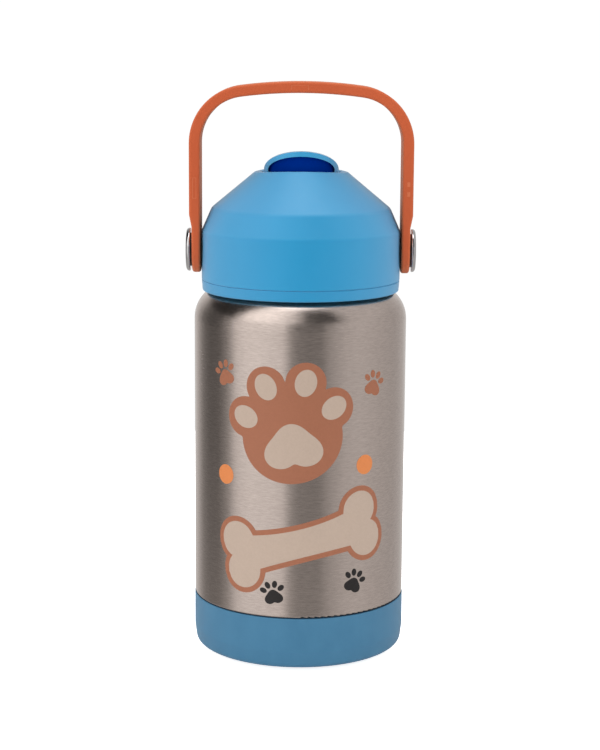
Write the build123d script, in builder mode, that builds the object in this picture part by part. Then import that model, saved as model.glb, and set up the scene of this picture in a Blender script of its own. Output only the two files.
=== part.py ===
from build123d import *
import os
from math import cos, radians, sin

# A child's insulated water bottle: a double-wall steel body in a silicone boot, a screw lid with
# a flip-up drinking spout in a round well, and a flat-strap handle that swings on two pivot screws.
#
# Millimetres, +Z up. The origin is under the middle of the base, and the front faces -Y.
# Outlines of turned pieces are lists of (radius, height) corners.

os.makedirs("parts", exist_ok=True)

# ---- Steel body ----
BODY_RADIUS = 35.1
SHELL_WALL = 0.6
SHOULDER_TOP = 123.15
SHOULDER_RADIUS = 11.0
NECK_RADIUS = 23.2
NECK_TOP = 137.0
NECK_ROOT_RADIUS = 0.7
FOOT_RADIUS = 33.3
FOOT_CORNER = 6.5
STEEL_BASE = 1.5
BASE_OPENING = 25.0

LINER_WALL = 0.5
LINER_RADIUS = 31.5
LINER_FLOOR = 5.5
LINER_CORNER = 6.0
LINER_SHOULDER_TOP = 119.9
LINER_SHOULDER_RADIUS = 7.5
LINER_NECK_RADIUS = 22.35
LIP_HEIGHT = 0.6

PLATE_THICKNESS = 0.6
PLATE_RADIUS = 26.5
DIMPLE_RADIUS = 7.5
DIMPLE_RISE = 0.8
GETTER_RADIUS = 6.0

# ---- Silicone boot ----
BOOT_RADIUS = 35.25
BOOT_TOP = 18.8
BOOT_FLAT_RADIUS = 26.8
BOOT_HEEL_RADIUS = 34.6
BOOT_HEEL_RISE = 2.2
BOOT_HEEL_TOP = 7.4
BOOT_SLACK = 0.05
BOOT_RECESS_RADIUS = 20.0
BOOT_RECESS_DEPTH = 0.7
STEP_GAP = 0.04

# ---- Screw thread between the neck and the lid ----
THREAD_PITCH = 4.5
THREAD_TURNS = 1.5
THREAD_START = 127.2
THREAD_HEIGHT = 1.3
THREAD_ROOT_WIDTH = 2.4
THREAD_CREST_WIDTH = 1.2
THREAD_SINK = 0.3
THREAD_CLEARANCE = 0.4

# ---- Lid ----
LID_RADIUS = 32.7
LID_WALL = 1.8
LID_BOTTOM = 121.4
LID_SEAM = 125.0
LID_CYLINDER_TOP = 141.0
STEEP_CONE_RADIUS = 29.4
STEEP_CONE_TOP = 148.5
LID_TOP = 161.1
ABOVE_LID = LID_TOP + 10
LID_TOP_RADIUS = 14.2
CROWN_RADIUS = 120.0
WELL_RADIUS = 13.0
WELL_FLOOR = 154.2
WELL_UNDERSIDE = 152.4
WELL_WALL_RADIUS = 14.8
INSERT_BORE = NECK_RADIUS + THREAD_HEIGHT + THREAD_CLEARANCE
INSERT_SKIRT_RADIUS = 26.9
CEILING_BOTTOM = 138.6
CEILING_TOP = 140.2
RING_UNDERCUT = 28.3
RING_UNDERCUT_RADIUS = 8.0
RING_FOOT_INNER = 31.8
RING_FOOT_OUTER = 32.4
TONGUE_INNER = 29.4
TONGUE_OUTER = 30.6
TONGUE_HEIGHT = 2.5
TONGUE_STEP = 1.0
RING_LIFT = 1.0
GASKET_INNER = 20.9
GASKET_OUTER = 23.3
VALVE_Y = -12.0
VALVE_STEM_RADIUS = 1.0
VALVE_BEAD_RADIUS = 1.6
VALVE_BEAD_LENGTH = 1.2
VALVE_SKIRT_RADIUS = 4.0
VALVE_SKIRT_EDGE = 0.5
VALVE_SKIRT_HEIGHT = 1.4
SEAL_SEAT_RADIUS = 3.4
SEAL_SEAT_DEPTH = 1.0
SEAL_RADIUS = 3.35
SEAL_BORE = 1.7
SEAL_STANDING = 0.15

# ---- Flip spout ----
HINGE_Y = 8.0
HINGE_Z = 157.2
BARREL_RADIUS = 2.6
BARREL_HALF = 6.2
HINGE_PIN_RADIUS = 1.25
RUNNING_CLEARANCE = 0.05
PIN_INNER_END = 3.4
PIN_OUTER_END = 10.4
EAR_INNER = 6.6
EAR_OUTER = 10.2
SPOUT_CENTRE_Z = 161.2
SPOUT_HALF_WIDTH = 12.2
SPOUT_HALF_HEIGHT = 6.2
SPOUT_FRONT_RADIUS = 12.6
SPOUT_BACK_Y = 1.2
RIM_SIDE = 1.4
RIM_TOP = 1.55
MOUTH_RECESS = 1.0
MOUTH_BACK_Y = -2.5
DRINK_BORE_RADIUS = 1.6
DRINK_BORE_TILT = 5.0

# ---- Straw ----
STRAW_Y = HINGE_Y
STRAW_RADIUS = 3.5
STRAW_BORE = 2.8
STRAW_TOP = 132.0
STRAW_BOTTOM = 8.0
FOOT_CUT_WIDTH = 9.0
FOOT_CUT_HEIGHT = 8.0
ADAPTER_RADIUS = 4.5
ADAPTER_BORE = 2.2
ADAPTER_FLANGE = 7.0
FLANGE_THICKNESS = 1.6
SPIGOT_BOTTOM = 126.0

# ---- Handle and its pivots ----
PIVOT_Z = 134.5
STRAP_INNER = 32.9
STRAP_THICKNESS = 3.6
STRAP_OUTER = STRAP_INNER + STRAP_THICKNESS
STRAP_WIDTH = 15.0
HANDLE_TOP = 189.5
HANDLE_CROWN_RADIUS = 150.0
HANDLE_CORNER = 18.8
STRAP_EDGE = 0.8
BELOW_ENDS = 120.0
PIVOT_FACE = 35.7
RAMP_LOW = 142.5
RAMP_HIGH = 146.5
SHANK_RADIUS = 2.0
BUSH_RADIUS = 3.2
SPOT_FACE = 32.3
SPOT_FACE_RADIUS = 4.8
CUT_REACH = 5.0
SPACER_RADIUS = 4.4
WASHER_RADIUS = 5.5
WASHER_FACE = 35.8
HEAD_FACE = 36.3
HEAD_TOP = 37.7
HEAD_RADIUS = 7.1
HEX_SOCKET = 1.5
HEX_DEPTH = 1.1
BRASS_RADIUS = 3.2
BRASS_INNER = 27.6
BRASS_OUTER = 31.2
THREAD_FIT = 0.02
SCREW_END_GAP = 0.4
HEAD_CORNER = 1.0
BOSS_RADIUS = 5.2

SIDES = {"left": -1, "right": 1}


def outline(corners, radii, mode=Mode.ADD):
    """Close a run of corners into a face of the current sketch, each rounded by its own radius."""
    with BuildLine() as edge:
        FilletPolyline(*corners, radius=radii, close=True)
    make_face(edge.edges(), mode=mode)


def wall(run, radii, thickness):
    """Draw a band of even thickness along the left of a run, with the run's corners rounded."""
    points = [Vector(*point) for point in run]
    heads = [(end - start).normalized() for start, end in zip(points, points[1:])]
    sides = [Vector(-head.Y, head.X) for head in heads]
    inner = [points[0] + sides[0] * thickness]
    inner_radii = []
    for point, before, after, radius in zip(points[1:], sides, sides[1:], radii):
        inner.append(point + (before + after) * (thickness / (1 + before.dot(after))))
        turn = 1 if before.cross(after).Z > 0 else -1
        inner_radii.append(max(radius - turn * thickness, 0) if radius else 0)
    inner.append(points[-1] + sides[-1] * thickness)
    outline(points + inner[::-1], [0, *radii, 0, 0, *inner_radii[::-1], 0])


def block(low, high):
    """A rectangle of the current sketch between two opposite corners."""
    outline([low, (high[0], low[1]), high, (low[0], high[1])], [0, 0, 0, 0])


def thread_ridge(wall_radius, start, height):
    """A helical ridge standing out from a round wall: height is negative on an inner wall."""
    sink = THREAD_SINK if height > 0 else -THREAD_SINK
    flare = (THREAD_ROOT_WIDTH - THREAD_CREST_WIDTH) * THREAD_SINK / THREAD_HEIGHT
    root_half = (THREAD_ROOT_WIDTH + flare) / 2
    crest_half = THREAD_CREST_WIDTH / 2
    with BuildPart() as ridge:
        with BuildLine() as path:
            Helix(THREAD_PITCH, THREAD_PITCH * THREAD_TURNS, wall_radius, center=(0, 0, start))
        with BuildSketch(Plane.XZ):
            with BuildLine():
                Polyline(
                    (wall_radius - sink, start - root_half),
                    (wall_radius + height, start - crest_half),
                    (wall_radius + height, start + crest_half),
                    (wall_radius - sink, start + root_half),
                    close=True,
                )
            make_face()
        sweep(path=path.line, is_frenet=True)
    return ridge.part


# ---- Outer shell: drawn steel, stepped in for the boot, turned in under the base ----
with BuildPart() as outer_shell:
    with BuildSketch(Plane.XZ):
        step = BOOT_TOP + STEP_GAP
        wall(
            [
                (BASE_OPENING, STEEL_BASE),
                (FOOT_RADIUS, STEEL_BASE),
                (FOOT_RADIUS, step),
                (BODY_RADIUS, step),
                (BODY_RADIUS, SHOULDER_TOP),
                (NECK_RADIUS, SHOULDER_TOP),
                (NECK_RADIUS, NECK_TOP - LIP_HEIGHT),
            ],
            [FOOT_CORNER, 0.6, 0.7, SHOULDER_RADIUS, NECK_ROOT_RADIUS],
            SHELL_WALL,
        )
    revolve(axis=Axis.Z)
    add(thread_ridge(NECK_RADIUS, THREAD_START, THREAD_HEIGHT))
outer_shell.part.label = "outer_shell"
export_step(outer_shell.part, "parts/outer_shell.step")

# ---- Inner liner: the cup that holds the drink, its lip folded over the shell's neck ----
with BuildPart() as inner_liner:
    with BuildSketch(Plane.XZ):
        wall(
            [
                (0, LINER_FLOOR),
                (LINER_RADIUS, LINER_FLOOR),
                (LINER_RADIUS, LINER_SHOULDER_TOP),
                (LINER_NECK_RADIUS, LINER_SHOULDER_TOP),
                (LINER_NECK_RADIUS, NECK_TOP),
            ],
            [LINER_CORNER, LINER_SHOULDER_RADIUS, 1.2],
            LINER_WALL,
        )
        block((LINER_NECK_RADIUS - LINER_WALL, NECK_TOP - LIP_HEIGHT), (NECK_RADIUS, NECK_TOP))
    revolve(axis=Axis.Z)
    rim = inner_liner.edges().filter_by(GeomType.CIRCLE).group_by(Axis.Z)[-1]
    fillet(rim, radius=0.2)
inner_liner.part.label = "inner_liner"
export_step(inner_liner.part, "parts/inner_liner.step")

# ---- Base plate: closes the shell, with a dimple over the getter ----
with BuildPart() as base_plate:
    plate_bottom = STEEL_BASE + SHELL_WALL
    with BuildSketch(Plane.XZ):
        wall(
            [
                (0, plate_bottom + DIMPLE_RISE),
                (DIMPLE_RADIUS, plate_bottom + DIMPLE_RISE),
                (DIMPLE_RADIUS + 1.5, plate_bottom),
                (PLATE_RADIUS, plate_bottom),
            ],
            [0.4, 0.4],
            PLATE_THICKNESS,
        )
    revolve(axis=Axis.Z)
base_plate.part.label = "base_plate"
export_step(base_plate.part, "parts/base_plate.step")

# ---- Getter disc: seals the vacuum gap, in the plate's dimple ----
with BuildPart() as getter_disc:
    with BuildSketch(Plane.XY.offset(plate_bottom + DIMPLE_RISE)):
        Circle(GETTER_RADIUS)
    extrude(amount=-PLATE_THICKNESS)
getter_disc.part.label = "getter_disc"
export_step(getter_disc.part, "parts/getter_disc.step")

# ---- Base boot: a silicone cup with a round heel and a hollow underside ----
with BuildPart() as base_boot:
    with BuildSketch(Plane.XZ):
        outline(
            [
                (0, BOOT_RECESS_DEPTH),
                (BOOT_RECESS_RADIUS, BOOT_RECESS_DEPTH),
                (BOOT_RECESS_RADIUS + 1, 0),
                (BOOT_FLAT_RADIUS, 0),
                (BOOT_HEEL_RADIUS, BOOT_HEEL_RISE),
                (BOOT_RADIUS, BOOT_HEEL_TOP),
                (BOOT_RADIUS, BOOT_TOP),
                (FOOT_RADIUS + BOOT_SLACK, BOOT_TOP),
                (FOOT_RADIUS + BOOT_SLACK, STEEL_BASE),
                (0, STEEL_BASE),
            ],
            [0, 0.4, 0.4, 8.0, 2.2, 4.0, 0.5, 0.9, FOOT_CORNER + BOOT_SLACK, 0],
        )
    revolve(axis=Axis.Z)
base_boot.part.label = "base_boot"
export_step(base_boot.part, "parts/base_boot.step")

# ---- Lid gasket: a flat silicone ring on the steel lip ----
with BuildPart() as lid_gasket:
    with BuildSketch(Plane.XY.offset(NECK_TOP)):
        Circle(GASKET_OUTER)
        Circle(GASKET_INNER, mode=Mode.SUBTRACT)
    extrude(amount=CEILING_BOTTOM - NECK_TOP)
lid_gasket.part.label = "lid_gasket"
export_step(lid_gasket.part, "parts/lid_gasket.step")

# ---- Lid insert: the threaded inner cap, whose foot is the ring below the lid's seam ----
with BuildPart() as lid_insert:
    with BuildSketch(Plane.XZ):
        outline(
            [
                (INSERT_BORE, SHOULDER_TOP + RING_LIFT),
                (RING_UNDERCUT, SHOULDER_TOP + RING_LIFT),
                (RING_FOOT_INNER, LID_BOTTOM),
                (RING_FOOT_OUTER, LID_BOTTOM),
                (LID_RADIUS, LID_SEAM),
                (TONGUE_OUTER, LID_SEAM),
                (TONGUE_OUTER, LID_SEAM + TONGUE_HEIGHT),
                (TONGUE_INNER, LID_SEAM + TONGUE_HEIGHT),
                (TONGUE_INNER, LID_SEAM + TONGUE_STEP),
                (INSERT_SKIRT_RADIUS, LID_SEAM + TONGUE_STEP),
                (INSERT_SKIRT_RADIUS, CEILING_TOP),
                (0, CEILING_TOP),
                (0, CEILING_BOTTOM),
                (INSERT_BORE, CEILING_BOTTOM),
            ],
            [0, RING_UNDERCUT_RADIUS, 0.3, 0.45, 0.4, 0, 0.3, 0.3, 0.4, 0.4, 0.8, 0, 0, 0],
        )
    revolve(axis=Axis.Z)
    add(thread_ridge(INSERT_BORE, THREAD_START + THREAD_PITCH / 2, -THREAD_HEIGHT))
    with BuildSketch(Plane.XY.offset(CEILING_BOTTOM)):
        with Locations((0, STRAW_Y)):
            Circle(ADAPTER_RADIUS + RUNNING_CLEARANCE)
        with Locations((0, VALVE_Y)):
            Circle(VALVE_STEM_RADIUS + RUNNING_CLEARANCE)
    extrude(amount=CEILING_TOP - CEILING_BOTTOM, mode=Mode.SUBTRACT)
lid_insert.part.label = "lid_insert"
export_step(lid_insert.part, "parts/lid_insert.step")

# ---- Lid shell: cylinder, steep cone and shallow cone around the spout's well ----
with BuildPart() as lid_shell:
    with BuildSketch(Plane.XZ):
        slope = (LID_TOP - STEEP_CONE_TOP) / (STEEP_CONE_RADIUS - LID_TOP_RADIUS)
        cone_tip = LID_TOP + slope * (LID_TOP_RADIUS - WELL_RADIUS)
        wall(
            [
                (LID_RADIUS, LID_SEAM),
                (LID_RADIUS, LID_CYLINDER_TOP),
                (STEEP_CONE_RADIUS, STEEP_CONE_TOP),
                (WELL_RADIUS, cone_tip),
            ],
            [2.0, 3.0],
            LID_WALL,
        )
        block((0, WELL_UNDERSIDE), (WELL_WALL_RADIUS, LID_TOP - 2))
    revolve(axis=Axis.Z)
    with BuildSketch(Plane.XZ):
        outline(
            [(0, WELL_FLOOR), (WELL_RADIUS, WELL_FLOOR), (WELL_RADIUS, ABOVE_LID), (0, ABOVE_LID)],
            [0, 0.8, 0, 0],
        )
    revolve(axis=Axis.Z, mode=Mode.SUBTRACT)
    # The top is crowned from side to side.
    with BuildSketch(Plane.XZ):
        with Locations((0, LID_TOP - CROWN_RADIUS)):
            Circle(CROWN_RADIUS)
    extrude(amount=LID_RADIUS + 1, both=True, mode=Mode.INTERSECT)
    top_edges = lid_shell.edges().filter_by(lambda e: e.bounding_box().min.Z > LID_TOP - 1.2)
    fillet(top_edges, radius=0.4)
    # A small radius keeps the lower edge at the seam from being sharp.
    seam_edges = lid_shell.edges().filter_by(GeomType.CIRCLE).group_by(Axis.Z)[0]
    fillet(seam_edges.sort_by(SortBy.RADIUS)[-1], radius=0.25)
    for side in SIDES.values():
        # An ear in the well holds each hinge pin.
        with BuildSketch(Plane.YZ.offset(side * EAR_INNER)):
            with Locations((HINGE_Y, HINGE_Z)):
                Circle(BARREL_RADIUS)
            block((HINGE_Y - BARREL_RADIUS, WELL_FLOOR - 0.5), (HINGE_Y + BARREL_RADIUS, HINGE_Z))
        extrude(amount=side * (EAR_OUTER - EAR_INNER))
        # A boss behind the wall holds each brass insert.
        with BuildSketch(Plane.YZ.offset(side * BRASS_INNER)):
            with Locations((0, PIVOT_Z)):
                Circle(BOSS_RADIUS)
        extrude(amount=side * (BRASS_OUTER + 0.3 - BRASS_INNER))
        with BuildSketch(Plane.YZ.offset(side * BRASS_INNER)):
            with Locations((0, PIVOT_Z)):
                Circle(BRASS_RADIUS + RUNNING_CLEARANCE)
        extrude(amount=side * (BRASS_OUTER - BRASS_INNER), mode=Mode.SUBTRACT)
        with BuildSketch(Plane.YZ.offset(side * BRASS_OUTER)):
            with Locations((0, PIVOT_Z)):
                Circle(SHANK_RADIUS + RUNNING_CLEARANCE)
        extrude(amount=side * CUT_REACH, mode=Mode.SUBTRACT)
        with BuildSketch(Plane.YZ.offset(side * SPOT_FACE)):
            with Locations((0, PIVOT_Z)):
                Circle(SPOT_FACE_RADIUS)
        extrude(amount=side * CUT_REACH, mode=Mode.SUBTRACT)
        with BuildSketch(Plane.YZ.offset(side * PIN_INNER_END)):
            with Locations((HINGE_Y, HINGE_Z)):
                Circle(HINGE_PIN_RADIUS + RUNNING_CLEARANCE)
        extrude(amount=side * (PIN_OUTER_END - PIN_INNER_END), mode=Mode.SUBTRACT)
    # The port under the hinge barrel, with a seat for its seal.
    with BuildSketch(Plane.XY.offset(WELL_UNDERSIDE)):
        with Locations((0, STRAW_Y)):
            Circle(ADAPTER_BORE)
    extrude(amount=WELL_FLOOR - WELL_UNDERSIDE, mode=Mode.SUBTRACT)
    with BuildSketch(Plane.XY.offset(WELL_FLOOR)):
        with Locations((0, STRAW_Y)):
            Circle(SEAL_SEAT_RADIUS)
    extrude(amount=-SEAL_SEAT_DEPTH, mode=Mode.SUBTRACT)
lid_shell.part.label = "lid_shell"
export_step(lid_shell.part, "parts/lid_shell.step")

# ---- Spout seal: a silicone ring in the port under the hinge barrel ----
with BuildPart() as spout_seal:
    with BuildSketch(Plane.XY.offset(WELL_FLOOR - SEAL_SEAT_DEPTH)):
        with Locations((0, STRAW_Y)):
            Circle(SEAL_RADIUS)
            Circle(SEAL_BORE, mode=Mode.SUBTRACT)
    extrude(amount=SEAL_SEAT_DEPTH + SEAL_STANDING)
spout_seal.part.label = "spout_seal"
export_step(spout_seal.part, "parts/spout_seal.step")

# ---- Straw adapter: the tube between the port and the straw, flanged on the insert's ceiling ----
with BuildPart() as straw_adapter:
    with BuildSketch(Plane(origin=(0, STRAW_Y, 0), x_dir=(1, 0, 0), z_dir=(0, -1, 0))):
        outline(
            [
                (ADAPTER_BORE, SPIGOT_BOTTOM),
                (STRAW_BORE - RUNNING_CLEARANCE, SPIGOT_BOTTOM),
                (STRAW_BORE - RUNNING_CLEARANCE, STRAW_TOP),
                (ADAPTER_RADIUS, STRAW_TOP),
                (ADAPTER_RADIUS, CEILING_TOP),
                (ADAPTER_FLANGE, CEILING_TOP),
                (ADAPTER_FLANGE, CEILING_TOP + FLANGE_THICKNESS),
                (ADAPTER_RADIUS, CEILING_TOP + FLANGE_THICKNESS),
                (ADAPTER_RADIUS, WELL_UNDERSIDE),
                (ADAPTER_BORE, WELL_UNDERSIDE),
            ],
            [0, 0.3, 0, 0.5, 0, 0, 0.4, 0.5, 0, 0],
        )
    revolve(axis=Axis((0, STRAW_Y, 0), (0, 0, 1)))
straw_adapter.part.label = "straw_adapter"
export_step(straw_adapter.part, "parts/straw_adapter.step")

# ---- Straw: a stiff tube down to the liner's floor, its foot cut at a slant ----
with BuildPart() as straw:
    with BuildSketch(Plane.XY.offset(STRAW_BOTTOM)):
        with Locations((0, STRAW_Y)):
            Circle(STRAW_RADIUS)
            Circle(STRAW_BORE, mode=Mode.SUBTRACT)
    extrude(amount=STRAW_TOP - STRAW_BOTTOM)
    with BuildSketch(Plane.YZ):
        foot = STRAW_Y - STRAW_RADIUS
        below = STRAW_BOTTOM - 1
        far_side = foot + FOOT_CUT_WIDTH
        outline([(foot, below), (far_side, below), (far_side, below + FOOT_CUT_HEIGHT)], [0, 0, 0])
    extrude(amount=STRAW_RADIUS + 1, both=True, mode=Mode.SUBTRACT)
straw.part.label = "straw"
export_step(straw.part, "parts/straw.step")

# ---- Vent valve: an umbrella valve that lets air in through the insert's ceiling ----
with BuildPart() as vent_valve:
    with BuildSketch(Plane(origin=(0, VALVE_Y, 0), x_dir=(1, 0, 0), z_dir=(0, -1, 0))):
        outline(
            [
                (0, CEILING_BOTTOM - VALVE_BEAD_LENGTH),
                (VALVE_BEAD_RADIUS, CEILING_BOTTOM - VALVE_BEAD_LENGTH),
                (VALVE_BEAD_RADIUS, CEILING_BOTTOM),
                (VALVE_STEM_RADIUS, CEILING_BOTTOM),
                (VALVE_STEM_RADIUS, CEILING_TOP),
                (VALVE_SKIRT_RADIUS, CEILING_TOP),
                (VALVE_SKIRT_RADIUS, CEILING_TOP + VALVE_SKIRT_EDGE),
                (0, CEILING_TOP + VALVE_SKIRT_HEIGHT),
            ],
            [0, 0.8, 0, 0, 0, 0, 0, 0],
        )
    revolve(axis=Axis((0, VALVE_Y, 0), (0, 0, 1)))
vent_valve.part.label = "vent_valve"
export_step(vent_valve.part, "parts/vent_valve.step")

# ---- Spout shell: an oval hood that follows the well's round front and narrows to its hinge ----
# From the side, the hood runs level behind its mouth and then slopes down to the hinge.
HOOD_SIDE = [(-14, 150), (-14, 168), (-8.5, 168), (1.5, 159.8), (HINGE_Y, 159.8), (HINGE_Y, 150)]
HOOD_RADII = [0, 0, 7.0, 4.0, 0, 0]


def hood(half_width, half_height, front_radius, back_y, top_inset):
    """An oval prism along Y, kept inside a round front and under the sloping top."""
    with BuildPart() as body:
        with BuildSketch(Plane.XZ):
            with Locations((0, SPOUT_CENTRE_Z)):
                Ellipse(half_width, half_height)
        extrude(amount=20, both=True)
        with BuildSketch():
            Circle(front_radius)
            with Locations((0, back_y + 20)):
                Rectangle(40, 40, mode=Mode.SUBTRACT)
        extrude(amount=200, mode=Mode.INTERSECT)
        with BuildSketch(Plane.YZ):
            outline([(y, z - top_inset) for y, z in HOOD_SIDE], HOOD_RADII)
        extrude(amount=20, both=True, mode=Mode.INTERSECT)
    return body.part


with BuildPart() as spout_shell:
    add(hood(SPOUT_HALF_WIDTH, SPOUT_HALF_HEIGHT, SPOUT_FRONT_RADIUS, SPOUT_BACK_Y, 0))
    with BuildSketch(Plane.YZ):
        block((0, SPOUT_CENTRE_Z - SPOUT_HALF_HEIGHT), (HINGE_Y, HINGE_Z + BARREL_RADIUS))
        with Locations((HINGE_Y, HINGE_Z)):
            Circle(BARREL_RADIUS)
    extrude(amount=BARREL_HALF, both=True)
    add(
        hood(SPOUT_HALF_WIDTH - RIM_SIDE, SPOUT_HALF_HEIGHT - RIM_TOP, 20, MOUTH_BACK_Y, RIM_TOP),
        mode=Mode.SUBTRACT,
    )
    for side in SIDES.values():
        with BuildSketch(Plane.YZ.offset(side * PIN_INNER_END)):
            with Locations((HINGE_Y, HINGE_Z)):
                Circle(HINGE_PIN_RADIUS + RUNNING_CLEARANCE)
        extrude(amount=side * 4, mode=Mode.SUBTRACT)
    # The drinking bore runs from the mouth through the barrel, so the barrel works as a valve.
    bore_way = (0, -cos(radians(DRINK_BORE_TILT)), sin(radians(DRINK_BORE_TILT)))
    with BuildSketch(Plane(origin=(0, HINGE_Y, HINGE_Z), x_dir=(1, 0, 0), z_dir=bore_way)):
        Circle(DRINK_BORE_RADIUS)
    extrude(amount=14, mode=Mode.SUBTRACT)
    with BuildSketch(Plane(origin=(0, HINGE_Y, HINGE_Z), x_dir=(1, 0, 0), z_dir=bore_way)):
        Circle(DRINK_BORE_RADIUS)
    extrude(amount=-4, mode=Mode.SUBTRACT)
spout_shell.part.label = "spout_shell"
export_step(spout_shell.part, "parts/spout_shell.step")

# ---- Mouthpiece: the soft block in the hood's mouth, set back from the rim ----
with BuildPart() as mouthpiece:
    inner_width = SPOUT_HALF_WIDTH - RIM_SIDE - RUNNING_CLEARANCE
    inner_height = SPOUT_HALF_HEIGHT - RIM_TOP - RUNNING_CLEARANCE
    front = SPOUT_FRONT_RADIUS - MOUTH_RECESS
    back = MOUTH_BACK_Y - RUNNING_CLEARANCE
    add(hood(inner_width, inner_height, front, back, RIM_TOP + RUNNING_CLEARANCE))
    with BuildSketch(Plane(origin=(0, HINGE_Y, HINGE_Z), x_dir=(1, 0, 0), z_dir=bore_way)):
        Circle(DRINK_BORE_RADIUS)
    extrude(amount=24, mode=Mode.SUBTRACT)
mouthpiece.part.label = "mouthpiece"
export_step(mouthpiece.part, "parts/mouthpiece.step")

# ---- Handle: a flat strap bent over the lid, thinner and round-ended at its pivots ----
with BuildPart() as handle:
    with BuildSketch(Plane.XZ) as band:
        drop = HANDLE_CROWN_RADIUS - (HANDLE_CROWN_RADIUS**2 - STRAP_OUTER**2) ** 0.5
        with BuildLine():
            top = ThreePointArc(
                (-STRAP_OUTER, HANDLE_TOP - drop), (0, HANDLE_TOP), (STRAP_OUTER, HANDLE_TOP - drop)
            )
            Polyline(top @ 1, (STRAP_OUTER, BELOW_ENDS), (-STRAP_OUTER, BELOW_ENDS), top @ 0)
        make_face()
        fillet(band.vertices().group_by(Axis.Y)[-1], radius=HANDLE_CORNER)
        offset(amount=-STRAP_THICKNESS, mode=Mode.SUBTRACT)
        for side in SIDES.values():
            outline(
                [
                    (side * PIVOT_FACE, BELOW_ENDS - 5),
                    (side * PIVOT_FACE, RAMP_LOW),
                    (side * STRAP_OUTER, RAMP_HIGH),
                    (side * (STRAP_OUTER + 2), RAMP_HIGH),
                    (side * (STRAP_OUTER + 2), BELOW_ENDS - 5),
                ],
                [0, 0, 0, 0, 0],
                mode=Mode.SUBTRACT,
            )
    extrude(amount=STRAP_WIDTH / 2, both=True)
    with BuildSketch(Plane.YZ):
        block((-STRAP_WIDTH / 2, PIVOT_Z), (STRAP_WIDTH / 2, HANDLE_TOP + 5))
        with Locations((0, PIVOT_Z)):
            Circle(STRAP_WIDTH / 2)
    extrude(amount=STRAP_OUTER + 1, both=True, mode=Mode.INTERSECT)
    flanks = handle.faces().filter_by(Axis.Y)
    fillet(flanks.edges().filter_by(Axis.X, reverse=True), radius=STRAP_EDGE)
    with BuildSketch(Plane.YZ):
        with Locations((0, PIVOT_Z)):
            Circle(BUSH_RADIUS + RUNNING_CLEARANCE / 2)
    extrude(amount=STRAP_OUTER + 1, both=True, mode=Mode.SUBTRACT)
handle.part.label = "handle"
export_step(handle.part, "parts/handle.step")


def collar(side, inner, outer, radius, bore):
    """A plain ring on the pivot axis, from one distance to another on one side of the lid."""
    with BuildPart() as ring:
        with BuildSketch(Plane.YZ.offset(side * inner)):
            with Locations((0, PIVOT_Z)):
                Circle(radius)
                Circle(bore, mode=Mode.SUBTRACT)
        extrude(amount=side * (outer - inner))
    return ring


# ---- Pivots: on each side a brass insert, a spacer, a bush in the strap, a washer and a screw ----
SHANK_HOLE = SHANK_RADIUS + RUNNING_CLEARANCE
for name, side in SIDES.items():
    pivot_insert = collar(side, BRASS_INNER, BRASS_OUTER, BRASS_RADIUS, SHANK_RADIUS + THREAD_FIT)
    pivot_insert.part.label = f"pivot_insert_{name}"
    export_step(pivot_insert.part, f"parts/pivot_insert_{name}.step")

    pivot_spacer = collar(side, SPOT_FACE, STRAP_INNER - 0.05, SPACER_RADIUS, SHANK_HOLE)
    pivot_spacer.part.label = f"pivot_spacer_{name}"
    export_step(pivot_spacer.part, f"parts/pivot_spacer_{name}.step")

    handle_bush = collar(side, STRAP_INNER, PIVOT_FACE, BUSH_RADIUS, SHANK_HOLE)
    handle_bush.part.label = f"handle_bush_{name}"
    export_step(handle_bush.part, f"parts/handle_bush_{name}.step")

    pivot_washer = collar(side, WASHER_FACE, HEAD_FACE, WASHER_RADIUS, SHANK_HOLE)
    pivot_washer.part.label = f"pivot_washer_{name}"
    export_step(pivot_washer.part, f"parts/pivot_washer_{name}.step")

    with BuildPart() as pivot_screw:
        with BuildSketch(Plane(origin=(0, 0, PIVOT_Z), x_dir=(side, 0, 0), z_dir=(0, 0, 1))):
            outline(
                [
                    (BRASS_INNER + SCREW_END_GAP, 0),
                    (BRASS_INNER + SCREW_END_GAP, SHANK_RADIUS),
                    (HEAD_FACE, SHANK_RADIUS),
                    (HEAD_FACE, HEAD_RADIUS),
                    (HEAD_TOP, HEAD_RADIUS),
                    (HEAD_TOP, 0),
                ],
                [0, 0.3, 0, 0.3, HEAD_CORNER, 0],
            )
        revolve(axis=Axis((0, 0, PIVOT_Z), (side, 0, 0)))
        with BuildSketch(Plane.YZ.offset(side * HEAD_TOP)):
            with Locations((0, PIVOT_Z)):
                RegularPolygon(HEX_SOCKET, 6)
        extrude(amount=-side * HEX_DEPTH, mode=Mode.SUBTRACT)
    pivot_screw.part.label = f"pivot_screw_{name}"
    export_step(pivot_screw.part, f"parts/pivot_screw_{name}.step")

    with BuildPart() as spout_pin:
        with BuildSketch(Plane.YZ.offset(side * (PIN_INNER_END + 0.1))):
            with Locations((HINGE_Y, HINGE_Z)):
                Circle(HINGE_PIN_RADIUS)
        extrude(amount=side * (PIN_OUTER_END - PIN_INNER_END - 0.15))
    spout_pin.part.label = f"spout_pin_{name}"
    export_step(spout_pin.part, f"parts/spout_pin_{name}.step")
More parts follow.
